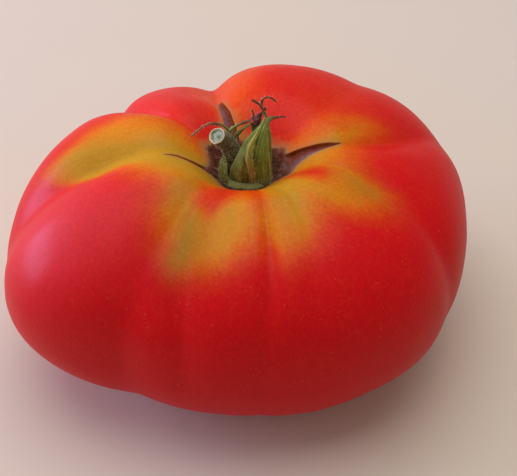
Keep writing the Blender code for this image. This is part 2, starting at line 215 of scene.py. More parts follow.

# Sepals: the run of the rib, half widths at even steps along it in millimetres, fold about the rib, azimuths
# that the outer face looks to at the root and at the tip in degrees, the share of the rib where the dried tip
# begins, and how yellow and how stained the blade is. The heavy stain of back_low and left_wall, which stand
# in shade low by the stem, is partly painted shade.
SEPALS = (
    (
        "front_left",
        ((-1.6, -4.9, 1.8), (-1.5, -5.3, 6.1), (-1.0, -5.6, 9.4), (-0.2, -5.4, 12.5), (0.8, -4.4, 14.9),
         (2.1, -2.8, 16.4), (3.6, -1.0, 17.8), (4.7, 0.6, 19.0), (4.9, 1.6, 20.1), (4.1, 2.2, 21.4),
         (3.4, 2.4, 22.7), (2.5, 2.6, 23.4), (1.5, 2.6, 23.9)),
        (2.9, 3.1, 2.9, 2.4, 2.0, 1.8, 1.6, 1.3, 0.7, 0.36, 0.24, 0.16, 0.05), 0.35, (250, 235), 0.82, 0.10,
        0.7,
    ),
    (
        "ridge",
        ((1.3, -5.0, 2.2), (1.2, -5.9, 6.6), (0.9, -6.6, 10.2), (0.7, -6.6, 13.2), (0.9, -6.0, 15.6),
         (1.8, -4.6, 17.0), (2.8, -3.0, 17.9), (3.5, -1.6, 18.6)),
        (0.7, 0.95, 1.0, 0.95, 0.85, 0.7, 0.45, 0.15), 0.8, (250, 240), 1.40, 1.0, 0.25,
    ),
    (
        "front_right",
        ((4.5, -4.9, 0.6), (4.5, -4.9, 5.4), (4.2, -4.8, 9.3), (4.1, -4.6, 12.4), (4.3, -3.8, 15.0),
         (4.6, -2.6, 16.9), (5.1, -1.3, 18.4), (5.7, -0.3, 19.6), (6.7, 0.4, 19.9), (8.0, 0.8, 20.1),
         (8.9, 1.0, 20.2), (9.8, 1.1, 20.0)),
        (1.5, 1.8, 2.0, 2.1, 2.1, 1.9, 1.6, 1.15, 0.75, 0.5, 0.28, 0.06), 0.30, (285, 280), 0.84, 0.15, 0.35,
    ),
    (
        "right",
        ((6.5, -0.8, 0.5), (6.4, -0.5, 4.0), (6.3, -0.2, 7.6), (6.2, 0.2, 10.6), (6.1, 0.8, 13.4),
         (5.8, 1.6, 15.6), (5.3, 2.6, 17.7), (4.6, 3.2, 19.5), (4.1, 3.6, 21.1), (4.1, 3.8, 22.5),
         (4.6, 3.8, 23.5), (5.6, 3.8, 23.9), (6.7, 3.8, 23.5), (7.6, 3.8, 22.6)),
        (0.9, 1.1, 1.2, 1.2, 1.2, 1.15, 1.0, 0.7, 0.42, 0.24, 0.18, 0.15, 0.12, 0.04), 0.5, (340, 300), 0.70,
        0.2, 0.4,
    ),
    (
        "back",
        ((2.2, 4.2, 1.8), (3.0, 4.6, 4.5), (3.4, 4.7, 7.5), (3.2, 4.8, 10.0), (2.9, 4.6, 12.6),
         (3.0, 4.2, 15.4), (3.6, 4.0, 17.8), (4.4, 3.8, 19.4), (5.0, 3.6, 20.7)),
        (1.0, 1.2, 1.3, 1.4, 1.4, 1.3, 0.8, 0.4, 0.08), 0.4, (280, 280), 0.62, 0.0, 0.6,
    ),
    (
        "back_left",
        ((-2.8, 4.0, 1.8), (-4.2, 4.0, 6.0), (-4.5, 4.4, 11.0), (-3.7, 4.8, 12.8), (-2.5, 5.0, 13.7),
         (-1.0, 5.2, 14.4), (0.6, 5.4, 14.9), (1.6, 5.4, 15.9), (1.9, 5.4, 17.2), (1.5, 5.4, 18.8)),
        (1.1, 1.0, 0.8, 0.55, 0.42, 0.34, 0.28, 0.2, 0.12, 0.04), 0.7, (220, 260), 0.66, 0.3, 0.7,
    ),
    (
        "back_low",
        ((-3.2, 3.2, 2.0), (-4.0, 3.0, 6.1), (-3.9, 3.4, 8.8), (-3.1, 3.8, 10.6), (-2.0, 4.2, 12.0),
         (-0.5, 4.6, 13.3), (1.3, 5.0, 14.7)),
        (0.8, 1.0, 0.95, 0.75, 0.5, 0.32, 0.06), 0.8, (220, 270), 1.00, 0.0, 1.4,
    ),
    (
        "left",
        ((-4.4, 2.2, 1.8), (-4.8, 2.8, 5.4), (-4.7, 3.4, 8.5), (-4.4, 3.8, 11.5), (-4.6, 3.8, 13.5),
         (-5.9, 3.4, 15.2), (-7.5, 2.8, 16.3), (-9.1, 2.2, 16.7), (-10.7, 1.8, 16.2), (-12.1, 1.4, 15.1),
         (-13.7, 1.2, 13.7)),
        (1.1, 1.1, 1.0, 0.8, 0.45, 0.3, 0.24, 0.2, 0.17, 0.13, 0.04), 0.7, (190, 255), 0.62, 0.6, 0.8,
    ),
    (
        "left_wall",
        ((-5.7, -3.1, 0.5), (-6.1, -3.0, 3.2), (-6.1, -2.9, 5.8), (-5.9, -2.4, 8.0), (-5.4, -1.7, 9.6)),
        (1.7, 1.9, 1.6, 1.1, 0.3), 0.2, (215, 215), 1.40, 0.0, 1.0,
    ),
)
SEPAL_ROWS = 72
SEPAL_COLUMNS = 17

# Hairs and fibres: how thick they are at the root, how deep they are sunk in, and how far they lean, as a
# share of their length. The hairs on the cup and the stem are as many as cover them evenly.
HAIR_THICKNESS = 0.055 * MM
HAIR_SINK = 0.05
HAIR_LEAN = 0.45
CUP_HAIRS = 900
STEM_HAIRS = 2600

# Stem: the middle line in millimetres from the calyx's seat, and the rings of its cut from the rim inwards,
# as shares of the radius and depths below the rim in millimetres
STEM_LINE = ((-0.6, 0.0, 1.4), (-1.9, 0.2, 5.2), (-3.4, 0.6, 8.9), (-4.9, 0.3, 12.4), (-7.1, -1.8, 16.3))
STEM_NECK_SHARE = 0.35
STEM_SWELL_SHARE = 0.45
STEM_CUT = (
    (0.97, -0.10), (0.91, -0.12), (0.86, 0.02), (0.80, 0.24), (0.62, 0.34), (0.40, 0.30), (0.15, 0.24),
)
STEM_ROWS = 90
STEM_COLUMNS = 48

# The photograph is taken from this height above the table's level and this far off.
CAMERA_ELEVATION = 45.0
CAMERA_DISTANCE = 0.340
CAMERA_AIM = (CORE[0] + 3.4 * MM, CORE[1], 0.034)
FRAME_PIXELS = 517
PIXELS_PER_METRE = 3700.0
SENSOR = 36.0


def linear(code):
    """A colour's sRGB hex code as linear red, green, blue and an alpha of 1."""
    parts = [int(code[i : i + 2], 16) / 255.0 for i in (1, 3, 5)]
    return (*[p / 12.92 if p <= 0.04045 else ((p + 0.055) / 1.055) ** 2.4 for p in parts], 1.0)


def colour(name, description, code):
    """A colour that the sidebar shows, with its default as a hex code."""
    return FloatVectorProperty(
        name=name, description=description, subtype="COLOR", size=4, min=0.0, max=1.0, default=linear(code)
    )


def measure(name, description, default):
    """A length that the sidebar shows."""
    return FloatProperty(name=name, description=description, default=default, unit="LENGTH")


class FruitSettings(bpy.types.PropertyGroup):
    """What can be changed about the fruit: its cracks, its cork and its colours"""

    crack_depth: FloatProperty(
        name="Crack depth", description="Depth of the cracks, as a share of what was measured", default=1.0,
        min=0.0,
    )
    fibre_count: IntProperty(name="Cork fibres", description="Loose fibres on the cork", default=1500, min=0)
    fibre_length: measure("Fibre length", "Length of the longest fibres", 1.1 * MM)
    ripe: colour("Ripe", "Skin over fully ripe flesh", "#de0914")
    # Deep darkens the skin low on the sides: the deeper red of the riper flesh there, and painted shade
    deep: colour("Deep", "Tint of the skin low on the sides, over the ripest flesh", "#e6b4b4")
    blushed: colour("Blushed", "Skin that has nearly turned red", "#dd3509")
    turning: colour("Turning", "Skin between red and yellow", "#e05c08")
    unripe: colour("Unripe", "Skin of the yellow shoulders", "#da800e")
    yellow: colour("Yellow", "Heart of the yellow shoulders", "#cc941e")
    green: colour("Green", "Tint of the green left in the yellow", "#cdd2ac")
    # Painted sheen: the pink that the window light's reflection gives the red skin, painted into its colour
    bloom: colour("Bloom", "Red skin seen through the bloom", "#d6343c")
    cork_light: colour("Light cork", "Dry healed skin", "#8f5645")
    cork_dark: colour("Dark cork", "Old cork in the hollow", "#4a2612")


class CalyxSettings(bpy.types.PropertyGroup):
    """What can be changed about the calyx: its blades, its down and its colours"""

    blade_thickness: measure("Blade thickness", "Thickness of a sepal", 0.34 * MM)
    hair_length: measure("Hair length", "Length of the longest hairs", 0.75 * MM)
    hair_count: IntProperty(name="Hairs", description="Hairs on each sepal", default=240, min=0)
    leaf: colour("Leaf", "Green of the sepals", "#748c2e")
    margin: colour("Margin", "Lighter edges", "#a4b04e")
    # The stain colour also serves as painted shade at the blades' roots and on the blades that stand in shade
    stain: colour("Stain", "Brown of the drying faces", "#4c3404")
    dry: colour("Dry tip", "Dried tips", "#5e2a10")


class StemSettings(bpy.types.PropertyGroup):
    """What can be changed about the stem: its thickness and its colours"""

    root_radius: measure("Root radius", "Half the stem's thickness where it leaves the calyx", 2.9 * MM)
    neck_radius: measure("Neck radius", "Half the stem's thickness at the bend", 2.35 * MM)
    cut_radius: measure("Cut radius", "Half the stem's thickness at the cut", 2.12 * MM)
    bark: colour("Skin", "Green skin of the stem", "#5c5726")
    rim: colour("Rim", "Fresh rim of the cut", "#ccc29e")
    pith: colour("Pith", "Heart of the cut", "#7f8e7c")


class StageSettings(bpy.types.PropertyGroup):
    """What can be changed about the table and the lights"""

    floor: colour("Table", "The pale table", "#d9cec2")
    key_power: FloatProperty(name="Key light", description="Power of the window light", default=7.4)
    side_power: FloatProperty(name="Side light", description="Power of the light off a wall", default=0.5)
    fill_power: FloatProperty(name="Top light", description="Power of the light above", default=5.2)
    sky: FloatProperty(name="Room light", description="Strength of the light all round", default=0.36)


class TomatoSettings(bpy.types.PropertyGroup):
    """The settings of the whole tomato, piece by piece"""

    fruit: PointerProperty(type=FruitSettings)
    calyx: PointerProperty(type=CalyxSettings)
    stem: PointerProperty(type=StemSettings)
    stage: PointerProperty(type=StageSettings)


def eased(value, start, end):
    """0 before start, 1 after end, and a smooth step between them."""
    share = np.clip((value - start) / (end - start), 0.0, 1.0)
    return share * share * (3.0 - 2.0 * share)


def turn_between(angle):
    """An angle in degrees brought to between -180 and 180."""
    return (angle + 180.0) % 360.0 - 180.0


def lumps(places, size, seed):
    """Smooth noise between -1 and 1 at places in metres, with lumps of about that size."""
    lattice = np.random.default_rng(seed).uniform(-1.0, 1.0, (32, 32, 32))
    scaled = np.asarray(places) / size
    cell = np.floor(scaled).astype(int)
    part = scaled - cell
    part = part * part * (3.0 - 2.0 * part)
    total = np.zeros(scaled.shape[:-1])
    for corner in product((0, 1), repeat=3):
        weight = np.prod(np.where(corner, part, 1.0 - part), axis=-1)
        index = (cell + corner) % 32
        total += weight * lattice[index[..., 0], index[..., 1], index[..., 2]]
    return total


def crowded(count, weight, closed=False):
    """Places from 0 to 1 that crowd together where the weight function is high."""
    fine = np.linspace(0.0, 1.0, 6001)
    heaped = np.concatenate([[0.0], np.cumsum(weight(fine[:-1]))])
    return np.interp(np.linspace(0.0, heaped[-1], count, endpoint=not closed), heaped, fine)


def unit(vectors):
    """Vectors brought to a length of 1."""
    return vectors / np.linalg.norm(vectors, axis=-1, keepdims=True)


def outward_normals(grid):
    """Unit normals of a grid of points that closes round its second axis."""
    around = np.roll(grid, -1, axis=1) - np.roll(grid, 1, axis=1)
    normal = np.cross(np.gradient(grid, axis=0), around)
    return normal / np.maximum(np.linalg.norm(normal, axis=-1, keepdims=True), 1e-12)


def new_piece(name, points, faces):
    """An object in the scene, with a mesh of its own."""
    mesh = bpy.data.meshes.new(name)
    mesh.from_pydata(points.tolist(), [], faces)
    piece = bpy.data.objects.new(name, mesh)
    bpy.context.scene.collection.objects.link(piece)
    return piece


def grid_mesh(name, grid, fields, closed=True, capped=True):
    """A mesh over a grid of points, each row a ring if closed, with fields of numbers or vectors on them."""
    rows, columns = grid.shape[:2]
    points = grid.reshape(-1, 3)
    reach = columns if closed else columns - 1
    first = (np.arange(rows - 1)[:, None] * columns + np.arange(reach)[None, :]).ravel()
    along = (np.arange(rows - 1)[:, None] * columns + (np.arange(reach)[None, :] + 1) % columns).ravel()
    faces = np.stack([first, first + columns, along + columns, along], axis=1).tolist()
    fields = {key: np.asarray(values).reshape(rows * columns, -1) for key, values in fields.items()}
    if capped:
        for row, flip in ((0, 1), (rows - 1, -1)):
            ring = np.arange(columns) + row * columns
            points = np.vstack([points, points[ring].mean(axis=0)])
            fields = {key: np.vstack([values, values[ring].mean(axis=0)]) for key, values in fields.items()}
            for a, b in zip(ring, np.roll(ring, -1)):
                faces.append([int(a), int(b), len(points) - 1][::flip])
    piece = new_piece(name, points, faces)
    for key, values in fields.items():
        kind, slot = ("FLOAT", "value") if values.shape[1] == 1 else ("FLOAT_VECTOR", "vector")
        field = piece.data.attributes.new(key, kind, "POINT")
        field.data.foreach_set(slot, values.astype(np.float32).ravel())
    piece.data.shade_smooth()
    return piece


def even_line(points, steps):
    """Even steps along a Catmull-Rom curve through points in millimetres, as an array in metres."""
    knots = np.array(points) * MM
    knots = np.vstack([2 * knots[0] - knots[1], knots, 2 * knots[-1] - knots[-2]])
    fine = np.linspace(0.0, len(points) - 1, 40 * len(points))
    i = np.minimum(fine.astype(int), len(points) - 2)
    t = (fine - i)[:, None]
    a, b, c, d = (knots[i + k] for k in range(4))
    curve = 0.5 * (2 * b + (c - a) * t + (2 * a - 5 * b + 4 * c - d) * t**2 + (3 * b - a - 3 * c + d) * t**3)
    run = np.concatenate([[0.0], np.cumsum(np.linalg.norm(np.diff(curve, axis=0), axis=1))])
    even = np.linspace(0.0, run[-1], steps)
    return np.stack([np.interp(even, run, curve[:, k]) for k in range(3)], axis=1)


def fix_piece(piece, node, material):
    """Gives a finished piece its material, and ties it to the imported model."""
    piece.data.materials.clear()
    piece.data.materials.append(material)
    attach(piece, BODY)
    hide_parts(node)


def round_the_core(azimuth, rows, column):
    """One column of a table that starts with azimuths, as a smooth closed curve round the core."""
    around = np.array([row[0] for row in rows], float)
    values = np.array([row[column] for row in rows], float)
    around = np.concatenate([around - 360.0, around, around + 360.0])
    values = np.tile(values, 3)
    slopes = np.gradient(values, around)
    angle = np.mod(azimuth, 360.0)
    i = np.searchsorted(around, angle, side="right") - 1
    span = around[i + 1] - around[i]
    t = (angle - around[i]) / span
    start = (2 * t**3 - 3 * t**2 + 1) * values[i] + (t**3 - 2 * t**2 + t) * span * slopes[i]
    end = (3 * t**2 - 2 * t**3) * values[i + 1] + (t**3 - t**2) * span * slopes[i + 1]
    return start + end


def furrow_depth(azimuth, share):
    """How deep the furrows lie there. The share runs from 0 at the stem to 1 at the blossom end."""
    depth = np.zeros_like(azimuth)
    for at_hollow, at_side, deepest, half_width, run in FURROWS:
        middle = at_hollow + (at_side - at_hollow) * eased(share, 0.0, FURROW_SETTLES)
        across = turn_between(azimuth - middle) / half_width
        section = np.exp(FURROW_POINT - np.sqrt(across**2 + FURROW_POINT**2))
        fading, gone = (first + later * run for first, later in zip(FURROW_FADES, FURROW_FADES_LATER))
        along = eased(share, *FURROW_OPENS) * (1.0 - eased(share, fading, gone))
        depth += deepest * MM * along * section
    return depth


def hollow(azimuth, radius):
    """How far the stem hollow dips at that azimuth and radius from the core."""
    return HOLLOW_DEPTH * np.exp(-((radius / (round_the_core(azimuth, LOBES, 3) * MM)) ** HOLLOW_POWER))


def fruit_form(azimuth, share):
    """The lobed form of the fruit without its cracks, as points and their distances from the core."""
    reach = round_the_core(azimuth, LOBES, 1) * MM
    shoulder = round_the_core(azimuth, LOBES, 2) * MM
    shoulder = MEAN_SHOULDER + (shoulder - MEAN_SHOULDER) * eased(share, 0.0, SHOULDER_SHARE)
    polar = math.pi * share
    upper = share <= 0.5
    power = np.where(upper, 2.0 / SHOULDER_POWER, 2.0 / UNDERSIDE_POWER)
    radius = reach * np.abs(np.sin(polar)) ** power
    rise = np.abs(np.cos(polar)) ** power
    above = WIDEST_HEIGHT + (shoulder - WIDEST_HEIGHT) * rise
    below = WIDEST_HEIGHT - (WIDEST_HEIGHT + UNDERSIDE_SINK) * rise
    height = np.where(upper, above, below)
    furrow = furrow_depth(azimuth, share)
    radius = radius - furrow * np.sin(polar) * np.minimum(1.0, radius / FULL_FURROW_REACH)
    height = height - furrow * np.cos(polar)
    height = np.where(upper, height - hollow(azimuth, radius), height)
    turn = np.radians(azimuth)
    x, y = CORE[0] + radius * np.cos(turn), CORE[1] + radius * np.sin(turn)
    return np.stack([x, y, height], axis=-1), radius


def crack_run(crack, radius):
    """How far out along a crack a radius is, from 0 to 1, and the azimuth of its deep line there."""
    at_inner, at_outer, sag, inner, outer = crack[:5]
    run = np.clip((radius / MM - inner) / (outer - inner), 0.0, 1.0)
    return run, at_outer + (at_inner - at_outer) * (1.0 - run) ** CRACK_BEND - sag * np.sin(math.pi * run)


def crack_fields(azimuth, radius, places):
    """The healed cracks: their depth, how far in one a point is, how far down its wall, and their lips."""
    depth, inside, wall, lips = (np.zeros_like(azimuth) for _ in range(4))
    ragged = 0.12 * lumps(places, 3.0 * MM, 11) + 0.06 * lumps(places, 1.2 * MM, 12)
    for crack in CRACKS:
        inner, width, narrowing, deepest, mouth = crack[3], *crack[5:]
        run, middle = crack_run(crack, radius)
        aside = np.radians(turn_between(azimuth - middle)) * radius / MM * np.sign(width) + ragged
        wide = abs(width) * (1.0 - run) ** narrowing + mouth * np.exp(-run / MOUTH_SHARE) + 1e-3
        steep = STEEP_WALL * np.minimum(1.0, wide / 0.8)
        up = np.clip(np.where(aside > 0.0, 1.0 - aside / wide, 1.0 + aside / steep), 0.0, 1.0)
        here = eased(radius / MM, inner - 0.8, inner + 1.2) * (1.0 - eased(run, 0.93, 1.0))
        deep = here * np.minimum(1.0, wide) ** 0.6 * (1.0 - run) ** 0.4
        depth = np.maximum(depth, deepest * MM * deep * up)
        reach = here * eased(up, 0.0, 0.16)
        wall = np.where(reach > inside, np.where(aside > 0.0, 0.9 * up, 1.0), wall)
        inside = np.maximum(inside, reach)
        beyond = np.maximum(aside - wide, -aside - steep)
        lips = np.maximum(lips, here * np.exp(-((np.maximum(beyond, 0.0) / 1.0) ** 2)) * (1.0 - reach))
    return depth, inside, wall, lips


def patch(around, down, middle, height, half_width, half_height):
    """A soft round patch on the skin: 1 in its middle and fading to 0 round it."""
    return np.exp(-((turn_between(around - middle) / half_width) ** 2) - ((down - height) / half_height) ** 2)


def unripeness(azimuth, share, places):
    """How unripe the skin is, 0 where it is red and 1 where it is yellow, and how green that yellow is."""
    around = azimuth + 2.0 * lumps(places, 9 * MM, 21) + 1.0 * lumps(places, 3.5 * MM, 22)
    down = share + 0.008 * lumps(places, 8 * MM, 23) + 0.004 * lumps(places, 3 * MM, 24)
    at_lip, start, end, level = (round_the_core(around, SHOULDERS, column) for column in (1, 2, 3, 4))
    unripe = at_lip + (level - at_lip) * eased(down, start - SHOULDER_STARTS, start + SHOULDER_STARTS)
    unripe = unripe * (1.0 - eased(down, end - SHOULDER_ENDS, end + SHOULDER_ENDS))
    for *place, change in PATCHES:
        unripe = unripe + change * patch(around, down, *place)
    unripe = np.clip(unripe, 0.0, 1.1)
    blush = np.maximum(0.0, 0.03 + 0.05 * np.cos(np.radians(azimuth - 100.0)))
    unripe = unripe + blush * (1.0 - unripe)
    green = np.max([strength * patch(around, down, *place) for *place, strength in GREENS], axis=0)
    return unripe, green


def fruit_skin(depth_share):
    """The finished surface of the fruit as a grid of points, with the fields that its material reads."""

    def near_ends(share):
        at_stem = STEM_CROWDING * np.exp(-((share / STEM_CROWDING_SHARE) ** 4))
        return 1.0 + at_stem + END_CROWDING * np.exp(-(((1.0 - share) / END_CROWDING_SHARE) ** 2))

    # The columns crowd round the cracks and follow them, so that their edges come out clean
    down = 0.002 + 0.996 * crowded(FRUIT_ROWS, near_ends)
    deep_lines = [crack_run(crack, fruit_form(np.full_like(down, crack[1]), down)[1])[1] for crack in CRACKS]
    rows = []
    for share_there, *lines in zip(down, *deep_lines):
        drawn = CRACK_CROWDING * (1.0 - eased(share_there, 0.15, 0.35))

        def near_cracks(turn):
            beside = (turn_between(360.0 * turn - line) / CRACK_CROWDING_WIDTH for line in lines)
            return 1.0 + sum(drawn * np.exp(-(far**2)) for far in beside)

        rows.append(360.0 * crowded(FRUIT_COLUMNS, near_cracks, closed=True))
    azimuth = np.stack(rows)
    share = np.broadcast_to(down[:, None], azimuth.shape)
    form, radius = fruit_form(azimuth, share)
    normal = outward_normals(form)
    depth, inside, wall, lips = crack_fields(azimuth, radius, form)
    direction = np.stack([np.cos(np.radians(azimuth)), np.sin(np.radians(azimuth)), 0.35 * share], axis=-1)
    streaks = lumps(direction, 0.045, 43) + 0.6 * lumps(direction, 0.02, 44)
    edge = round_the_core(azimuth, CORK, 1) * MM + 0.3 * MM * streaks + 0.5 * MM * lumps(form, 2.5 * MM, 32)
    cork = np.where(share < 0.5, 1.0 - eased(radius, edge - 2.4 * MM, edge + 0.6 * MM), 0.0)
    beyond_scar = eased(radius + 0.8 * MM * lumps(form, 1.5 * MM, 33), 1.6 * MM, 3.4 * MM)
    scar = np.where(share > 0.5, 1.0 - beyond_scar, 0.0)
    # Relief in millimetres: a fine swell all over, ribs round the hollow, and wrinkles where skin has healed
    swell = 0.30 * lumps(form, 17 * MM, 41) + 0.10 * lumps(form, 7 * MM, 42)
    ribs = 0.05 * streaks * eased(share, 0.04, 0.09) * (1.0 - eased(share, 0.16, 0.34))
    wrinkles = 0.20 * lumps(form, 1.5 * MM, 45) + 0.13 * lumps(form, 0.7 * MM, 46) + 0.03 * streaks
    creased = np.maximum(np.maximum(cork, scar), 0.8 * inside)
    relief = swell * eased(share, 0.03, 0.12) + ribs + wrinkles * creased
    relief = relief + 0.15 * lips
    beyond_edge = eased(radius + 0.6 * MM * lumps(form, 2.0 * MM, 34), edge, edge + 2.2 * MM)
    rim = np.where(share < 0.5, 1.0 - beyond_edge, 0.0)
    relief = relief - 0.5 * scar
    skin = form + normal * (relief * MM - depth * depth_share)[..., None]
    skin[..., 2] = np.maximum(skin[..., 2], 0.0)
    unripe, green = unripeness(azimuth, share, form)
    # Painted sheen: where the window light's reflection is painted pink on the red skin
    bloom = np.max([strength * patch(azimuth, share, *place) for *place, strength in PAINTED_SHEENS], axis=0)
    fields = {
        "bloom": bloom * (1.0 - np.clip(unripe, 0.0, 1.0)),
        "unripe": unripe,
        "green": green,
        "cork": np.maximum(cork, scar),
        "fibrous": cork,
        "split": inside,
        "wall": wall,
        "lip": np.maximum(lips, rim),
        "share": share,
        "grain": direction,
    }
    return skin, fields


def sepal_grid(points, widths, fold, facing, dry_from, seed):
    """The sepal's middle surface: folded about its rib, waved along its edges and twisted to a dry string."""
    line = even_line(points, SEPAL_ROWS)
    along = np.linspace(0.0, 1.0, SEPAL_ROWS)
    heading = unit(np.gradient(line, axis=0))
    angle = np.radians(facing[0] + turn_between(facing[1] - facing[0]) * eased(along, 0.45, 1.0))
    outward = np.stack([np.cos(angle), np.sin(angle), np.zeros_like(angle)], axis=1)
    outward = unit(outward - heading * np.sum(outward * heading, axis=1, keepdims=True))
    side = np.cross(heading, outward)
    width = np.interp(along, np.linspace(0.0, 1.0, len(widths)), widths)
    width = np.convolve(np.pad(width, 4, mode="edge"), np.ones(9) / 9.0, mode="valid")[:, None] * MM
    u = along[:, None]
    v = np.linspace(-1.0, 1.0, SEPAL_COLUMNS)[None, :]
    dry = eased(u, dry_from - 0.12, dry_from + 0.08)
    width = width * (1.0 + 0.20 * dry * np.sin(47.0 * u + seed) * np.cos(19.0 * u))
    back = (fold + 0.9 * dry) * np.abs(v) ** 1.6 * width
    rib = 0.16 * MM * np.exp(-((v / 0.16) ** 2)) * (1.0 - 0.5 * dry)
    wave = 0.22 * MM * np.abs(v) ** 2 * np.sin(9.0 * math.pi * u + 2.0 * v + seed) * eased(u, 0.1, 0.4)
    flat = line[:, None, :] + side[:, None, :] * (v * width)[..., None]
    flat = flat + outward[:, None, :] * (rib + wave - back)[..., None]
    crumpled = 0.16 * dry * lumps(flat + seed, 0.8 * MM, 60 + seed)
    rough = 0.10 * lumps(flat + seed, 1.6 * MM, 50 + seed) + crumpled
    grid = CALYX_SEAT + flat + outward[:, None, :] * (rough * MM)[..., None]
    fields = {"along": u, "across": v, "dry": dry}
    return grid, {key: np.broadcast_to(values, rough.shape) for key, values in fields.items()}


def keep_modifiers(piece):
    """Gives a piece the mesh that its modifiers make."""
    bpy.context.view_layer.objects.active = piece
    for modifier in piece.modifiers[:]:
        bpy.ops.object.modifier_apply(modifier=modifier.name)


def hairs_over(name, piece, count, length, seed, keep):
    """Short tapering hairs that stand on a piece, each a slim three-sided spike sunk a little into it.

    They keep to where a field of the piece lies between two values: its name, the least and the greatest.
    """
    draw = np.random.default_rng(seed)
    mesh = piece.data
    mesh.calc_loop_triangles()
    points = np.empty(len(mesh.vertices) * 3)
    mesh.vertices.foreach_get("co", points)
    points = points.reshape(-1, 3)
    corners = np.array([triangle.vertices[:] for triangle in mesh.loop_triangles])
    field, least, greatest = keep
    values = np.empty(len(mesh.vertices), np.float32)
    mesh.attributes[field].data.foreach_get("value", values)
    shown = values[corners].mean(axis=1)
    corners = corners[(shown >= least) & (shown <= greatest)]
    a, b, c = (points[corners[:, k]] for k in range(3))
    normal = np.cross(b - a, c - a)
    size = np.linalg.norm(normal, axis=1)
    chosen = draw.choice(len(corners), count, p=size / size.sum())
    normal = normal[chosen] / size[chosen, None]
    share = draw.dirichlet((1.0, 1.0, 1.0), count)
    root = share[:, :1] * a[chosen] + share[:, 1:2] * b[chosen] + share[:, 2:] * c[chosen]
    heading = unit(normal + HAIR_LEAN * draw.normal(size=(count, 3)))
    side = unit(np.cross(heading, draw.normal(size=(count, 3))))
    other = np.cross(heading, side)
    reach = length * draw.uniform(0.35, 1.0, (count, 1))
    ring = [
        root - normal * HAIR_SINK * MM + HAIR_THICKNESS * (math.cos(t) * side + math.sin(t) * other)
        for t in (0.0, 2.0 * math.pi / 3.0, 4.0 * math.pi / 3.0)
    ]
    places = np.stack([*ring, root + heading * reach], axis=1).reshape(-1, 3)
    start = 4 * np.arange(count)[:, None]
    faces = np.vstack([start + np.array(f) for f in ((0, 2, 1), (0, 1, 3), (1, 2, 3), (2, 0, 3))])
    return new_piece(name, places, faces.tolist())


def new_material(name):
    """An empty material, the function that adds its nodes, and the object's coordinates for its patterns."""
    material = bpy.data.materials.new(name)
    material.use_nodes = True
    material.node_tree.nodes.clear()
    add = partial(add_node, material.node_tree)
    return material, add, add("TexCoord").outputs["Object"]


def add_node(tree, kind, settings=None, links=None, stops=None):
    """Adds a shader node of a kind.

    Settings and links go to its sockets or properties, by name or number, and stops are a ramp's. A link from
    a node leaves by the first of its outputs that is in use.
    """
    node = tree.nodes.new("ShaderNode" + kind)
    for key, value in (settings or {}).items():
        if isinstance(key, str) and hasattr(node, key):
            setattr(node, key, value)
        else:
            node.inputs[key].default_value = value
    for key, source in (links or {}).items():
        if isinstance(source, bpy.types.Node):
            source = next(output for output in source.outputs if output.enabled)
        tree.links.new(source, node.inputs[key])
    if stops:
        ramp = node.color_ramp
        while len(ramp.elements) < len(stops):
            ramp.elements.new(1.0)
        for element, (place, shade) in zip(ramp.elements, stops):
            element.position = place
            element.color = shade
    return node


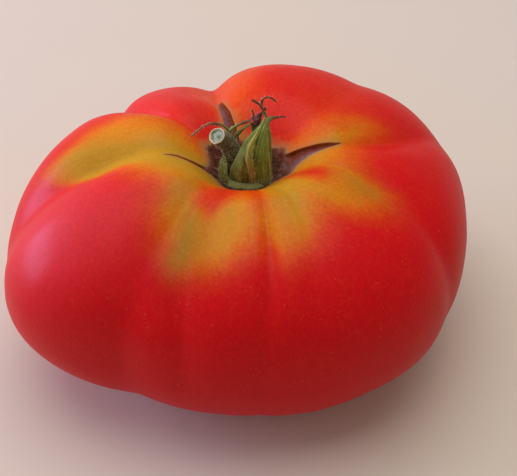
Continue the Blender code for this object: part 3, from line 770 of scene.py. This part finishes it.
def skin_material(settings):
    """Tomato skin: a thin clear waxed cuticle over juicy red flesh, so it shines softly and glows."""
    material, add, place = new_material("tomato_skin_waxed")
    read = {
        name: add("Attribute", {"attribute_name": name}).outputs
        for name in ("unripe", "green", "bloom", "cork", "split", "wall", "lip", "share", "grain")
    }
    # Mottling under the skin, 3 mm across, and streaks that run down from the stem. They are drawn by the
    # direction from the core, so a scale of 34 makes them 1.5 mm wide where the side is 50 mm from it.
    mottle = add("TexNoise", {"Scale": 1.0 / (3.0 * MM), "Detail": 3.0}, {"Vector": place})
    streaks = add(
        "TexNoise", {"Scale": 34.0, "Detail": 2.0, "Roughness": 0.6}, {"Vector": read["grain"]["Vector"]}
    )
    grain = add("TexNoise", {"Scale": 1.0 / (0.8 * MM), "Detail": 2.0}, {"Vector": place})
    coarse = add("Math", {"operation": "ADD"}, {0: mottle, 1: streaks})
    mixed = add("Math", {"operation": "ADD"}, {0: coarse, 1: grain})
    uneven = add("Math", {"operation": "MULTIPLY_ADD", 1: 0.16, 2: -0.24}, {0: mixed})
    ripening = add("Math", {"operation": "ADD"}, {0: read["unripe"]["Fac"], 1: uneven})
    ramp = add(
        "ValToRGB", links={"Fac": ripening},
        stops=(
            (0.0, settings.ripe), (0.25, settings.blushed), (0.50, settings.turning), (0.75, settings.unripe),
            (1.0, settings.yellow),
        ),
    )
    # Where the deep tint lies: low on the sides, for the riper flesh there and for painted shade
    low = add("MapRange", {"From Min": 0.18, "From Max": 0.52}, {"Value": read["share"]["Fac"]})
    # Fine golden flecks, 2.4 mm apart, where the pores of the young fruit were
    pores = add("TexVoronoi", {"Scale": 1.0 / (2.4 * MM)}, {"Vector": place})
    fleck = add(
        "MapRange", {"From Min": 0.05, "From Max": 0.12, "To Min": 0.18, "To Max": 0.0}, {"Value": pores}
    )
    # Tints over the ripening flesh: green left in the yellow, the darkening low on the sides, which is the
    # deeper red of the riper flesh there and painted shade, the painted sheen, a pink painted reflection of
    # the window light, and the flecks
    tinted = ramp
    for tint, blend, shown in (
        (settings.green, "MULTIPLY", read["green"]["Fac"]),
        (settings.deep, "MULTIPLY", low),
        (settings.bloom, "MIX", read["bloom"]["Fac"]),
        (linear("#e8963c"), "MIX", fleck),
    ):
        tinted = add("Mix", {"data_type": "RGBA", "blend_type": blend, 7: tint}, {0: shown, 6: tinted})
    # The flesh under the skin shows as fine light and dark mottling
    mottled = add(
        "MapRange", {"From Min": 0.30, "From Max": 0.70, "To Min": 0.91, "To Max": 1.06}, {"Value": grain}
    )
    fleshed = add("Mix", {"data_type": "RGBA", "blend_type": "MULTIPLY", 0: 1.0}, {6: tinted, 7: mottled})
    # Cork: crumbs 0.9 mm across, tan at the edge of the hollow and darker and redder towards the stem
    crumbs = add("TexNoise", {"Scale": 1.0 / (0.9 * MM), "Detail": 4.0}, {"Vector": place})
    patches = add("TexNoise", {"Scale": 1.0 / (2.6 * MM), "Detail": 3.0}, {"Vector": place})
    uneven_cork = add("Math", {"operation": "ADD"}, {0: crumbs, 1: patches})
    aged = add("Math", {"operation": "MULTIPLY_ADD", 1: 1.1, 2: -1.25}, {0: uneven_cork})
    age = add("Math", {"operation": "ADD"}, {0: read["cork"]["Fac"], 1: aged})
    cork = add(
        "ValToRGB", links={"Fac": age},
        stops=(
            (0.10, linear("#a87c48")), (0.36, settings.cork_light), (0.56, linear("#7c4636")),
            (0.78, linear("#64341f")), (1.0, settings.cork_dark),
        ),
    )
    # Lavender scar skin shows between the crumbs
    scarred_patch = add("MapRange", {"From Min": 0.46, "From Max": 0.34, "To Max": 0.55}, {"Value": patches})
    lavender = add("Mix", {"data_type": "RGBA", 7: linear("#80646e")}, {0: scarred_patch, 6: cork})
    edged = add("MapRange", {"From Min": 0.04, "From Max": 0.36}, {"Value": read["cork"]["Fac"]})
    lipped = add("Math", {"operation": "MULTIPLY", 1: 0.5}, {0: read["lip"]["Fac"]})
    tanned = add("Mix", {"data_type": "RGBA", 7: linear("#a8824a")}, {0: lipped, 6: fleshed})
    healed = add("Mix", {"data_type": "RGBA"}, {0: edged, 6: tanned, 7: lavender})
    # Cracks: the gentle wall is lavender scar skin, the deep line red-brown
    torn = add("Math", {"operation": "MULTIPLY_ADD", 1: 0.6, 2: -0.30}, {0: crumbs})
    height = add("Math", {"operation": "ADD"}, {0: read["wall"]["Fac"], 1: torn})
    scarred = add(
        "ValToRGB", links={"Fac": height},
        stops=(
            (0.0, linear("#a8825a")), (0.18, linear("#8c6a72")), (0.42, linear("#80565a")),
            (0.68, linear("#783426")), (0.97, linear("#90401c")),
        ),
    )
    crevice = add("Mix", {"data_type": "RGBA"}, {0: read["split"]["Fac"], 6: healed, 7: scarred})
    dry = add("Math", {"operation": "MAXIMUM"}, {0: edged, 1: read["split"]["Fac"]})
    gloss = add("MapRange", {"To Min": 0.47, "To Max": 0.80}, {"Value": dry})
    rough = add("MapRange", {"To Min": 0.03, "To Max": 0.9}, {"Value": dry})
    pimples = add("Bump", {"Distance": 0.12 * MM}, {"Height": crumbs, "Strength": rough})
    shader = add(
        "BsdfPrincipled",
        {
            "IOR": 1.45, "Specular IOR Level": 0.13, "Subsurface Weight": 0.12,
            "Subsurface Radius": (1.0, 0.25, 0.08), "Subsurface Scale": 3.0 * MM, "Coat Weight": 0.09,
            "Coat Roughness": 0.22,
        },
        {"Base Color": crevice, "Roughness": gloss, "Normal": pimples},
    )
    add("OutputMaterial", links={"Surface": shader})
    return material


def sepal_material(settings):
    """A sepal: a thin downy leaf that dries from the tip, matt, lighter at rib and edges, stained brown, the
    stain laid on heavier towards the root as painted shade.
    """
    material, add, place = new_material("sepal_drying_leaf")
    read = {
        name: add("Attribute", {"attribute_name": name}).outputs["Fac"]
        for name in ("along", "across", "dry")
    }
    edge = add("Math", {"operation": "ABSOLUTE"}, {0: read["across"]})
    banded = add(
        "ValToRGB", links={"Fac": edge},
        stops=(
            (0.0, linear("#7e9034")), (0.16, settings.leaf), (0.70, settings.leaf), (0.95, settings.margin),
        ),
    )
    tone = add("Attribute", {"attribute_name": "tone"}).outputs["Vector"]
    yellow, stained, pale = add("SeparateXYZ", links={"Vector": tone}).outputs
    yellowed = add("Mix", {"data_type": "RGBA", 7: linear("#9e982a")}, {0: yellow, 6: banded})
    # Brown stains 2.5 mm across on the older blades
    blotch = add("TexNoise", {"Scale": 1.0 / (2.5 * MM), "Detail": 4.0}, {"Vector": place})
    spread = add("MapRange", {"From Min": 0.35, "From Max": 0.65, "To Max": 0.9}, {"Value": blotch})
    # The brown stain is laid on heavier towards a blade's root, which paints the shade that falls on the roots
    # down in the hollow, and the fibres show as dark streaks along it, 7 to its half width, which is 0.4 mm on
    # the widest blade
    root_shade = add(
        "MapRange", {"From Min": 0.10, "From Max": 0.55, "To Min": 1.25, "To Max": 0.35},
        {"Value": read["along"]},
    )
    stain_and_root_shade = add("Math", {"operation": "MULTIPLY"}, {0: spread, 1: root_shade})
    staining = add("Math", {"operation": "MULTIPLY", "use_clamp": True}, {0: stain_and_root_shade, 1: stained})
    stain = add("Mix", {"data_type": "RGBA", 7: settings.stain}, {0: staining, 6: yellowed})
    paled = add("Mix", {"data_type": "RGBA", 7: linear("#828a54")}, {0: pale, 6: stain})
    length = add("Math", {"operation": "MULTIPLY", 1: 0.35}, {0: read["along"]})
    strand = add("CombineXYZ", links={"X": read["across"], "Y": yellow, "Z": length})
    fibres = add("TexNoise", {"Scale": 7.0, "Detail": 3.0}, {"Vector": strand})
    streaked = add(
        "MapRange", {"From Min": 0.34, "From Max": 0.60, "To Min": 0.55, "To Max": 1.12}, {"Value": fibres}
    )
    fibred = add("Mix", {"data_type": "RGBA", "blend_type": "MULTIPLY", 0: 1.0}, {6: paled, 7: streaked})
    # The driest strings bleach from brown to tan
    bleached = add("Mix", {"data_type": "RGBA", 6: settings.dry, 7: linear("#a0683c")}, {0: yellow})
    dried = add("Mix", {"data_type": "RGBA"}, {0: read["dry"], 6: fibred, 7: bleached})
    # Fine veins along the blade, 0.4 mm apart
    vein = add("TexNoise", {"Scale": 1.0 / (0.4 * MM), "Detail": 2.0}, {"Vector": place})
    bump = add("Bump", {"Strength": 0.5, "Distance": 0.1 * MM}, {"Height": vein})
    shader = add(
        "BsdfPrincipled",
        {
            "Roughness": 0.62, "IOR": 1.42, "Subsurface Weight": 0.08, "Subsurface Radius": (0.4, 0.6, 0.1),
            "Subsurface Scale": 0.8 * MM, "Sheen Weight": 0.08, "Sheen Roughness": 0.5,
        },
        {"Base Color": dried, "Normal": bump},
    )
    add("OutputMaterial", links={"Surface": shader})
    return material


def stem_material(settings):
    """A green stem, downy and faintly ridged, with the pale wet rim and pith of a fresh cut."""
    material, add, place = new_material("stem_green_cut")
    read = {
        name: add("Attribute", {"attribute_name": name}).outputs["Fac"]
        for name in ("cut", "inward")
    }
    grain = add("TexNoise", {"Scale": 1.0 / (0.8 * MM), "Detail": 4.0}, {"Vector": place})
    bark = add(
        "ValToRGB", links={"Fac": grain},
        stops=((0.35, linear("#2c280e")), (0.55, settings.bark), (0.75, linear("#6b6838"))),
    )
    # The ring under the skin is pale and uneven, and the pith inside it runs from green to grey
    cells = add("TexNoise", {"Scale": 1.0 / (1.3 * MM), "Detail": 2.0}, {"Vector": place})
    ragged = add("Math", {"operation": "MULTIPLY_ADD", 1: 0.36, 2: -0.18}, {0: cells})
    inward = add("Math", {"operation": "ADD"}, {0: read["inward"], 1: ragged})
    spongy = add("MapRange", {"From Min": 0.36, "From Max": 0.62}, {"Value": cells})
    heart = add("Mix", {"data_type": "RGBA", 6: linear("#66704c"), 7: linear("#a2ae98")}, {0: spongy})
    ring = add(
        "ValToRGB", links={"Fac": inward},
        stops=((0.0, settings.rim), (0.13, settings.rim), (0.25, linear("#5c6440")), (0.36, settings.pith)),
    )
    hollowed = add("MapRange", {"From Min": 0.26, "From Max": 0.42}, {"Value": inward})
    face = add("Mix", {"data_type": "RGBA"}, {0: hollowed, 6: ring, 7: heart})
    whole = add("Mix", {"data_type": "RGBA"}, {0: read["cut"], 6: bark, 7: face})
    bump = add("Bump", {"Strength": 0.6, "Distance": 0.15 * MM}, {"Height": grain})
    shader = add(
        "BsdfPrincipled",
        {
            "Roughness": 0.6, "IOR": 1.42, "Subsurface Weight": 0.05, "Subsurface Scale": 0.6 * MM,
            "Sheen Weight": 0.1, "Sheen Roughness": 0.5,
        },
        {"Base Color": whole, "Normal": bump},
    )
    add("OutputMaterial", links={"Surface": shader})
    return material


def hair_material(name, dark, light):
    """Plant hairs and fibres: fine glassy threads that catch the light, between a dark and a light colour."""
    material, add, place = new_material(name)
    tint = add("TexNoise", {"Scale": 1.0 / (3.0 * MM)}, {"Vector": place})
    shade = add("ValToRGB", links={"Fac": tint}, stops=((0.35, linear(dark)), (0.65, linear(light))))
    shader = add("BsdfPrincipled", {"Roughness": 0.45, "IOR": 1.45}, {"Base Color": shade})
    add("OutputMaterial", links={"Surface": shader})
    return material


def table_material(settings):
    """A matt painted table top, pale and warm, with the faint unevenness of a brushed coat."""
    material, add, place = new_material("table_paint_matt")
    cloudy = add("TexNoise", {"Scale": 1.0 / 0.09, "Detail": 2.0}, {"Vector": place})
    shade = add("ValToRGB", links={"Fac": cloudy}, stops=((0.3, settings.floor), (0.7, linear("#dccfbe"))))
    shader = add("BsdfPrincipled", {"Roughness": 0.8, "IOR": 1.5}, {"Base Color": shade})
    add("OutputMaterial", links={"Surface": shader})
    return material


class TOMATO_OT_fruit(bpy.types.Operator):
    """Makes the fruit: lobes, furrows, stem hollow, healed cracks, blossom scar and ripening skin"""

    bl_idname = "tomato.fruit"
    bl_label = "Fruit"

    def execute(self, context):
        settings = context.scene.tomato.fruit
        skin, fields = fruit_skin(settings.crack_depth)
        fruit = grid_mesh("tomato_fruit", skin, fields)
        fix_piece(fruit, "fruit", skin_material(settings))
        # Loose brown fibres stand on the cork round the calyx
        fibres = hairs_over(
            "cork_fibres", fruit, settings.fibre_count, settings.fibre_length, 68, ("fibrous", 0.35, 1.0)
        )
        fix_piece(fibres, "fruit", hair_material("cork_fibre", "#4e2c1e", "#a87c70"))
        return {"FINISHED"}


class TOMATO_OT_calyx(bpy.types.Operator):
    """Makes the calyx: the cup in the hollow and the sepals that stand on it, with their down"""

    bl_idname = "tomato.calyx"
    bl_label = "Calyx"

    def execute(self, context):
        settings = context.scene.tomato.calyx
        leaf = sepal_material(settings)
        down = hair_material("plant_hair", "#a09a6a", "#dcd8bc")
        cup = self.make_cup(leaf)
        hairs = hairs_over("cup_hairs", cup, CUP_HAIRS, settings.hair_length, 69, ("along", 0.5, 1.5))
        fix_piece(hairs, "calyx", down)
        for seed, (name, points, widths, fold, facing, dry_from, yellow, stain) in enumerate(SEPALS):
            grid, fields = sepal_grid(points, widths, fold, facing, dry_from, seed)
            # A blade that leaves the outer wall of the cup is as pale as the cup at its root
            root = (1.0 - eased(fields["along"], 0.04, 0.24)) * float(points[0][2] < 1.0)
            fields["tone"] = np.stack([yellow * (1.0 - root), stain * (1.0 - root), 0.9 * root], axis=-1)
            sepal = grid_mesh("sepal_" + name, grid, fields, closed=False, capped=False)
            thick = sepal.modifiers.new("thickness", "SOLIDIFY")
            thick.thickness = settings.blade_thickness
            thick.offset = 0.0
            keep_modifiers(sepal)
            sepal.data.shade_smooth()
            fix_piece(sepal, "calyx", leaf)
            hairs = hairs_over(
                "sepal_hairs_" + name, sepal, settings.hair_count, settings.hair_length, 70 + seed,
                ("dry", 0.0, 1.0),
            )
            fix_piece(hairs, "calyx", down)
        return {"FINISHED"}

    def make_cup(self, leaf):
        """The cup: a shallow dish that follows the hollow's floor, scalloped where the sepals leave it."""
        turn = np.linspace(0.0, 360.0, CUP_COLUMNS, endpoint=False)
        profile = np.array(CUP_SECTION)
        scallop = sum(
            np.exp(-((turn_between(turn - math.degrees(math.atan2(s[1][0][1], s[1][0][0]))) / 22.0) ** 2))
            for s in SEPALS
        )
        ripple = 0.010 * np.sin(np.radians(17.0 * turn)) * np.cos(np.radians(5.0 * turn))
        wrinkled = 0.93 + 0.07 * scallop + ripple
        radius = profile[:, :1] * CUP_RADIUS * wrinkled[None, :]
        height = profile[:, 1:] * CUP_TOP_HEIGHT * np.ones_like(radius)
        x = CALYX_SEAT[0] + radius * np.cos(np.radians(turn))
        y = CALYX_SEAT[1] + radius * np.sin(np.radians(turn))
        out = np.hypot(x - CORE[0], y - CORE[1])
        azimuth = np.degrees(np.arctan2(y - CORE[1], x - CORE[0]))
        floor = MEAN_SHOULDER - hollow(azimuth, out)
        grid = np.stack([x, y, floor + height], axis=-1)
        grid[..., 2] += 0.12 * MM * lumps(grid, 1.4 * MM, 71) + 0.35 * MM * lumps(grid, 3.2 * MM, 72)
        shape = grid.shape[:2]
        # The cup's inside, down among the roots of the sepals, takes the full brown stain: painted shade there
        outside = (np.arange(len(profile)) >= CUP_INSIDE_ROWS).astype(float)[:, None]
        pale = outside * np.ones(shape)
        fields = {
            "along": np.broadcast_to(outside, shape),
            "across": np.full(shape, 0.5),
            "dry": np.zeros(shape),
            "tone": np.stack(np.broadcast_arrays(0.0 * outside, 1.0 - outside, pale), axis=-1),
        }
        cup = grid_mesh("calyx_cup", grid, fields)
        smoothed = cup.modifiers.new("smooth", "SUBSURF")
        smoothed.levels = 1
        smoothed.render_levels = 1
        keep_modifiers(cup)
        fix_piece(cup, "calyx", leaf)
        return cup


class TOMATO_OT_stem(bpy.types.Operator):
    """Makes the stem's stub, with its down and the sunken pith of the cut"""

    bl_idname = "tomato.stem"
    bl_label = "Stem"

    def execute(self, context):
        settings = context.scene.tomato.stem
        calyx = context.scene.tomato.calyx
        line = CALYX_SEAT + even_line(STEM_LINE, STEM_ROWS)
        along = np.linspace(0.0, 1.0, STEM_ROWS)
        turn = np.radians(np.linspace(0.0, 360.0, STEM_COLUMNS, endpoint=False))
        heading = unit(np.gradient(line, axis=0))
        side = unit(np.cross(heading, (0.25, -1.0, 0.3)))
        other = np.cross(heading, side)
        thin = eased(along, 0.0, STEM_NECK_SHARE)
        wide = eased(along, STEM_SWELL_SHARE, 1.0)
        radius = settings.root_radius + (settings.neck_radius - settings.root_radius) * thin
        radius = radius + (settings.cut_radius - settings.neck_radius) * wide
        radius = radius + 0.22 * MM * np.exp(-(((along - 0.42) / 0.05) ** 2))
        ridged = radius[:, None] * (1.0 + 0.015 * np.cos(5.0 * turn) + 0.010 * np.cos(8.0 * turn + 1.0))
        around = np.cos(turn)[:, None] * side[:, None, :] + np.sin(turn)[:, None] * other[:, None, :]
        tube = line[:, None, :] + around * ridged[..., None]
        tube = tube + around * (0.12 * MM * lumps(tube, 1.3 * MM, 81))[..., None]
        steps = np.array(STEM_CUT)
        last = tube[-1] - line[-1]
        rings = [line[-1] + last * share - heading[-1] * depth * MM for share, depth in steps]
        rough = [ring + heading[-1] * (0.10 * MM * lumps(ring, 0.7 * MM, 82))[:, None] for ring in rings]
        grid = np.concatenate([tube, np.stack(rough)], axis=0)
        inward = np.concatenate([np.zeros(STEM_ROWS), 1.0 - steps[:, 0]])
        cut = np.concatenate([eased(along, 0.985, 1.0), np.ones(len(steps))])
        fields = {
            "inward": np.broadcast_to(inward[:, None], grid.shape[:2]),
            "cut": np.broadcast_to(cut[:, None], grid.shape[:2]),
        }
        stem = grid_mesh("tomato_stem", grid, fields)
        fix_piece(stem, "stem", stem_material(settings))
        hairs = hairs_over("stem_hairs", stem, STEM_HAIRS, 1.4 * calyx.hair_length, 83, ("cut", 0.0, 0.01))
        fix_piece(hairs, "stem", hair_material("stem_hair", "#a09a6a", "#dcd8bc"))
        return {"FINISHED"}


class TOMATO_OT_stage(bpy.types.Operator):
    """Sets the pale table, the soft lights and the camera at the photograph's angle"""

    bl_idname = "tomato.stage"
    bl_label = "Stage"

    def execute(self, context):
        settings = context.scene.tomato.stage
        bpy.ops.mesh.primitive_plane_add(size=4.0)
        table = context.object
        table.name = "table"
        table.data.materials.append(table_material(settings))
        self.add_light("window", (-0.86, 0.20, 0.20), (0.56, 0.42), settings.key_power, "#cbc4ff")
        self.add_light("warm wall", (-0.42, 0.55, 0.26), (0.60, 0.40), settings.side_power, "#ffd8a8")
        self.add_light("ceiling", (-0.05, 0.15, 0.85), (0.90, 0.90), settings.fill_power, "#fffdfa")
        world = bpy.data.worlds.new("room")
        world.use_nodes = True
        world.node_tree.nodes["Background"].inputs["Color"].default_value = linear("#f4ebe2")
        world.node_tree.nodes["Background"].inputs["Strength"].default_value = settings.sky
        context.scene.world = world
        context.scene.view_settings.view_transform = "Standard"
        self.add_camera(context)
        return {"FINISHED"}

    def add_light(self, name, place, size, power, code):
        """A soft rectangular light that looks at the fruit."""
        lamp = bpy.data.lights.new(name, "AREA")
        lamp.shape = "RECTANGLE"
        lamp.size, lamp.size_y = size
        lamp.energy = power
        lamp.color = linear(code)[:3]
        light = bpy.data.objects.new(name, lamp)
        light.location = place
        light.rotation_euler = (Vector((0.0, 0.0, 0.04)) - Vector(place)).to_track_quat("-Z", "Y").to_euler()
        bpy.context.scene.collection.objects.link(light)

    def add_camera(self, context):
        """A camera with the photograph's angle, distance and framing."""
        lens = bpy.data.cameras.new("camera")
        lens.sensor_width = SENSOR
        lens.lens = SENSOR * CAMERA_DISTANCE * PIXELS_PER_METRE / FRAME_PIXELS
        camera = bpy.data.objects.new("camera", lens)
        tilt = math.radians(CAMERA_ELEVATION)
        back = Vector((0.0, -math.cos(tilt), math.sin(tilt)))
        camera.location = Vector(CAMERA_AIM) + back * CAMERA_DISTANCE
        camera.rotation_euler = (-back).to_track_quat("-Z", "Y").to_euler()
        context.scene.collection.objects.link(camera)
        context.scene.camera = camera


class TOMATO_PT_panel(bpy.types.Panel):
    """Lists the pieces of the tomato and what can be changed about them"""

    bl_idname = "TOMATO_PT_panel"
    bl_label = "Tomato"
    bl_space_type = "VIEW_3D"
    bl_region_type = "UI"
    bl_category = "Tomato"

    def draw(self, context):
        for operator in OPERATORS:
            box = self.layout.box()
            box.operator(operator.bl_idname)
            group = getattr(context.scene.tomato, operator.bl_idname.split(".")[1])
            for name in group.bl_rna.properties.keys():
                if name not in ("rna_type", "name"):
                    box.prop(group, name)


OPERATORS = (TOMATO_OT_fruit, TOMATO_OT_calyx, TOMATO_OT_stem, TOMATO_OT_stage)
CLASSES = (
    FruitSettings, CalyxSettings, StemSettings, StageSettings, TomatoSettings, *OPERATORS, TOMATO_PT_panel
)


def register():
    for each in CLASSES:
        bpy.utils.register_class(each)
    bpy.types.Scene.tomato = PointerProperty(type=TomatoSettings)


def unregister():
    del bpy.types.Scene.tomato
    for each in reversed(CLASSES):
        bpy.utils.unregister_class(each)


def main():
    """Makes the tomato on its table."""
    register()
    bpy.ops.tomato.fruit()
    bpy.ops.tomato.calyx()
    bpy.ops.tomato.stem()
    bpy.ops.tomato.stage()


if __name__ == "__main__":
    main()
